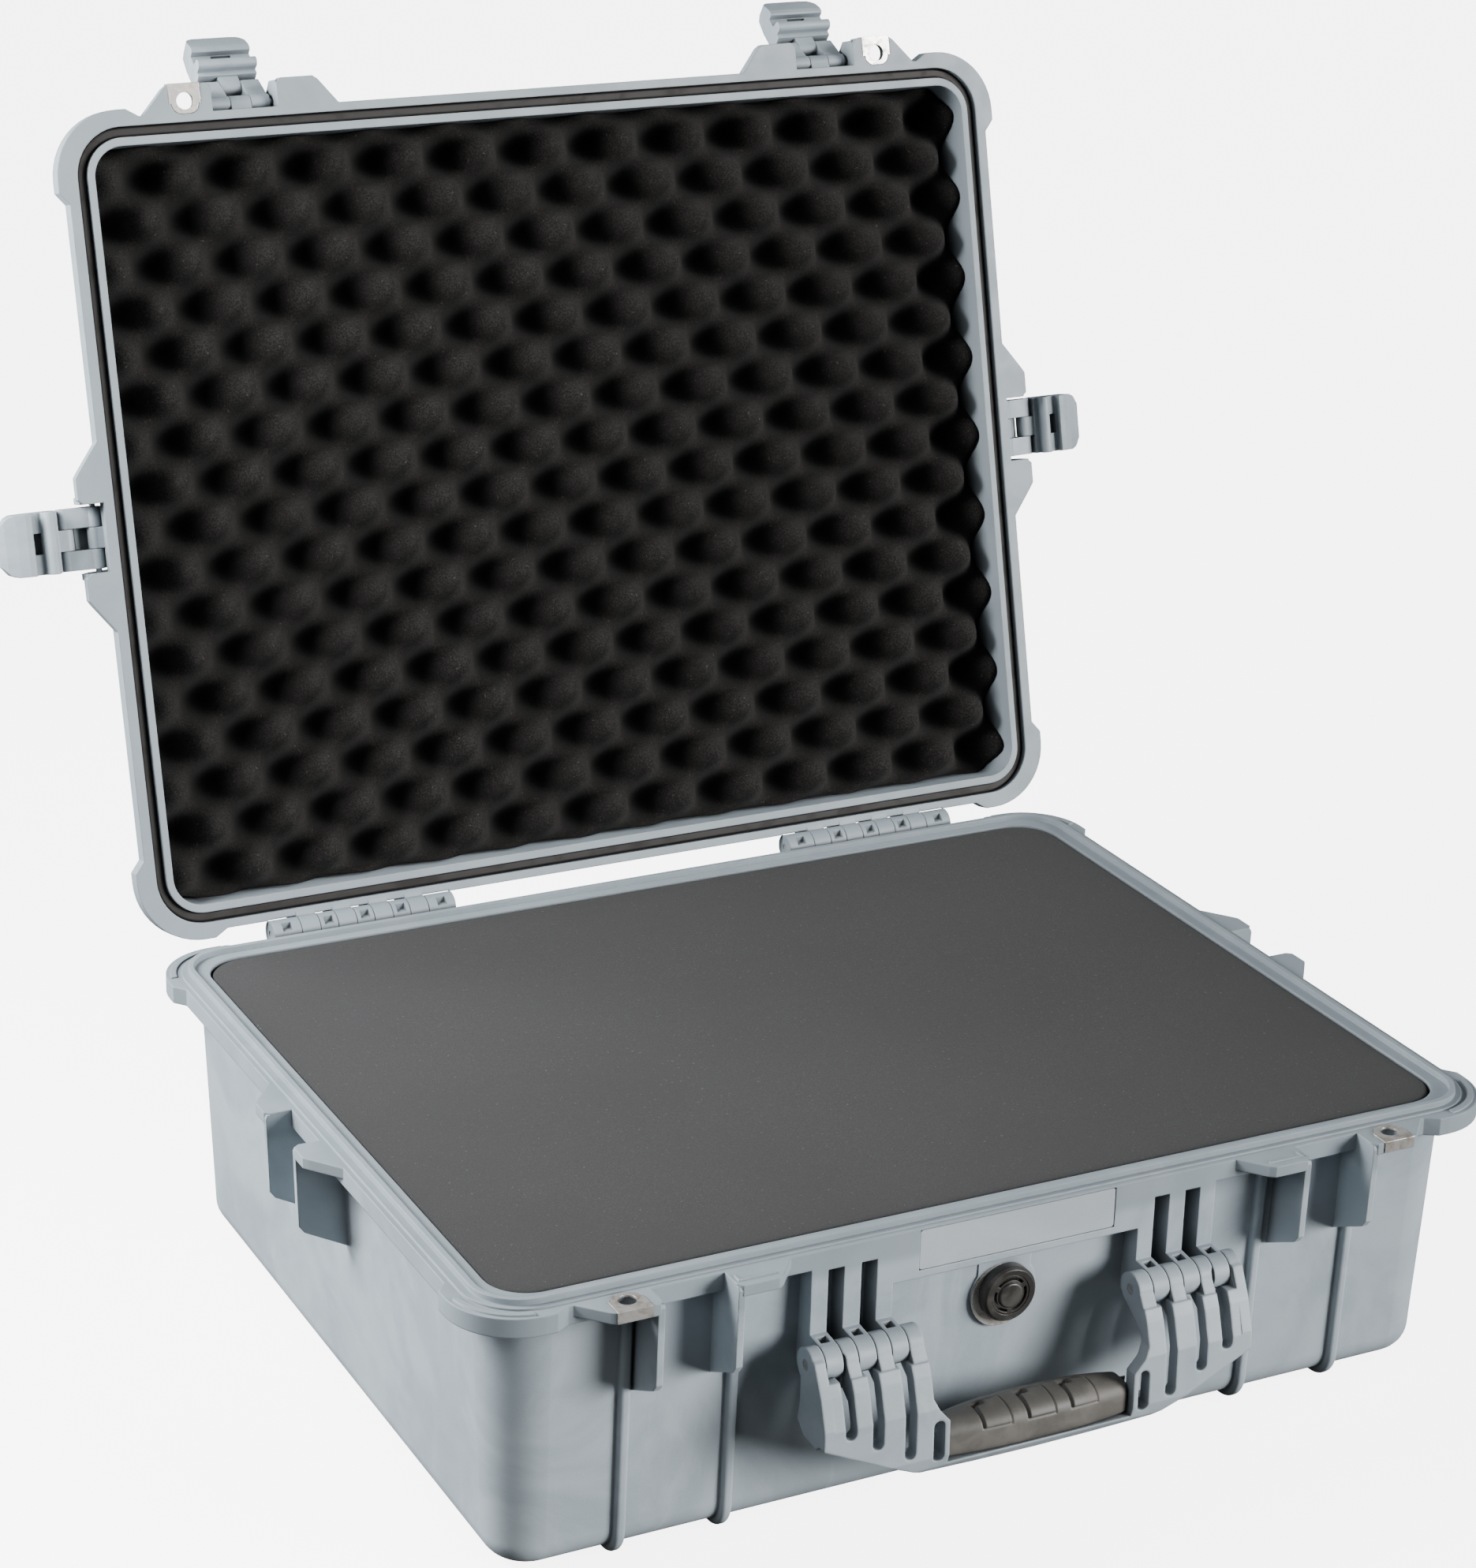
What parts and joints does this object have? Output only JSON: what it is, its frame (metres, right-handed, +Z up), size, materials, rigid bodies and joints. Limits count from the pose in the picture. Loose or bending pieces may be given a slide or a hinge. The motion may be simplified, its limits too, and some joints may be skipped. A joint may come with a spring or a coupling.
{
  "type": "protective equipment case",
  "caption": "Moulded watertight equipment case standing open, with foam-lined base and hinged lid, double-throw latches, folding handle and pressure valve.",
  "frame": {"origin": "centre of the resting plane under the skid ribs, midway between the side walls and midway between the front and back walls", "axes": "+X right along the front, +Y from the handle side towards the hinge side, +Z up; the lid is stored open at its stop"},
  "size_m": [0.7052, 0.6832, 0.6435],
  "materials": {
    "case_shell": "fine textured moulding",
    "latch_plastic": "fine textured moulding",
    "plate_plastic": "satin",
    "seal_rubber": "matt",
    "grip_rubber": "matt",
    "base_foam": "open-cell foam",
    "lid_foam": "convoluted open-cell foam",
    "valve_plastic": "satin",
    "membrane": "matt",
    "stainless_plate": "bright",
    "pin_steel": "plain"
  },
  "bodies": {
    "base": {"base_shell": "case_shell", "foam_base_pad": "base_foam", "foam_lower_layer": "base_foam", "foam_upper_layer": "base_foam", "nameplate": "plate_plastic", "handle_pin_left": "pin_steel", "handle_pin_right": "pin_steel", "hinge_pin_left": "pin_steel", "hinge_pin_right": "pin_steel", "valve_body": "valve_plastic", "valve_cap": "valve_plastic", "valve_nut": "valve_plastic", "valve_washer": "stainless_plate", "valve_o_ring": "seal_rubber", "valve_membrane": "membrane", "padlock_plate_base_left": "stainless_plate", "padlock_plate_base_right": "stainless_plate"},
    "lid": {"lid_shell": "case_shell", "lid_seal": "seal_rubber", "lid_foam": "lid_foam", "padlock_plate_lid_left": "stainless_plate", "padlock_plate_lid_right": "stainless_plate", "latch_front_left_lid_pin": "pin_steel", "latch_front_right_lid_pin": "pin_steel", "latch_side_left_lid_pin": "pin_steel", "latch_side_right_lid_pin": "pin_steel"},
    "handle": {"handle_frame": "case_shell", "handle_grip": "grip_rubber"},
    "latch_front_left_link": {"latch_front_left_link": "latch_plastic", "latch_front_left_lever_pin": "pin_steel"},
    "latch_front_left_lever": {"latch_front_left_lever": "latch_plastic"},
    "latch_front_right_link": {"latch_front_right_link": "latch_plastic", "latch_front_right_lever_pin": "pin_steel"},
    "latch_front_right_lever": {"latch_front_right_lever": "latch_plastic"},
    "latch_side_left_link": {"latch_side_left_link": "latch_plastic", "latch_side_left_lever_pin": "pin_steel"},
    "latch_side_left_lever": {"latch_side_left_lever": "latch_plastic"},
    "latch_side_right_link": {"latch_side_right_link": "latch_plastic", "latch_side_right_lever_pin": "pin_steel"},
    "latch_side_right_lever": {"latch_side_right_lever": "latch_plastic"}
  },
  "joints": [
    {"name": "lid_hinge", "type": "hinge", "parent": "base", "child": "lid", "pos_m": [0, 0.2388, 0.159], "axis": [-1, 0, 0], "range_deg": [-104.5, 0]},
    {"name": "handle_swing", "type": "hinge", "parent": "base", "child": "handle", "pos_m": [0, -0.2408, 0.103], "axis": [-1, 0, 0], "range_deg": [0, 110]},
    {"name": "latch_front_left_link_swing", "type": "hinge", "parent": "lid", "child": "latch_front_left_link", "pos_m": [-0.1855, 0.36989, 0.61397], "axis": [-1, 0, 0], "range_deg": [-132, 0]},
    {"name": "latch_front_left_lever_throw", "type": "hinge", "parent": "latch_front_left_link", "child": "latch_front_left_lever", "pos_m": [-0.1855, 0.38544, 0.61947], "axis": [-1, 0, 0], "range_deg": [0, 75]},
    {"name": "latch_front_right_link_swing", "type": "hinge", "parent": "lid", "child": "latch_front_right_link", "pos_m": [0.1855, 0.36989, 0.61397], "axis": [-1, 0, 0], "range_deg": [-132, 0]},
    {"name": "latch_front_right_lever_throw", "type": "hinge", "parent": "latch_front_right_link", "child": "latch_front_right_lever", "pos_m": [0.1855, 0.38544, 0.61947], "axis": [-1, 0, 0], "range_deg": [0, 75]},
    {"name": "latch_side_left_link_swing", "type": "hinge", "parent": "lid", "child": "latch_side_left_link", "pos_m": [-0.297, 0.31118, 0.38694], "axis": [0, -0.2504, -0.9681], "range_deg": [-90, 42]},
    {"name": "latch_side_left_lever_throw", "type": "hinge", "parent": "latch_side_left_link", "child": "latch_side_left_lever", "pos_m": [-0.313, 0.31505, 0.38594], "axis": [0, -0.2504, -0.9681], "range_deg": [0, 75]},
    {"name": "latch_side_right_link_swing", "type": "hinge", "parent": "lid", "child": "latch_side_right_link", "pos_m": [0.297, 0.31118, 0.38694], "axis": [0, 0.2504, 0.9681], "range_deg": [-90, 42]},
    {"name": "latch_side_right_lever_throw", "type": "hinge", "parent": "latch_side_right_link", "child": "latch_side_right_lever", "pos_m": [0.313, 0.31505, 0.38594], "axis": [0, 0.2504, 0.9681], "range_deg": [0, 75]}
  ]
}
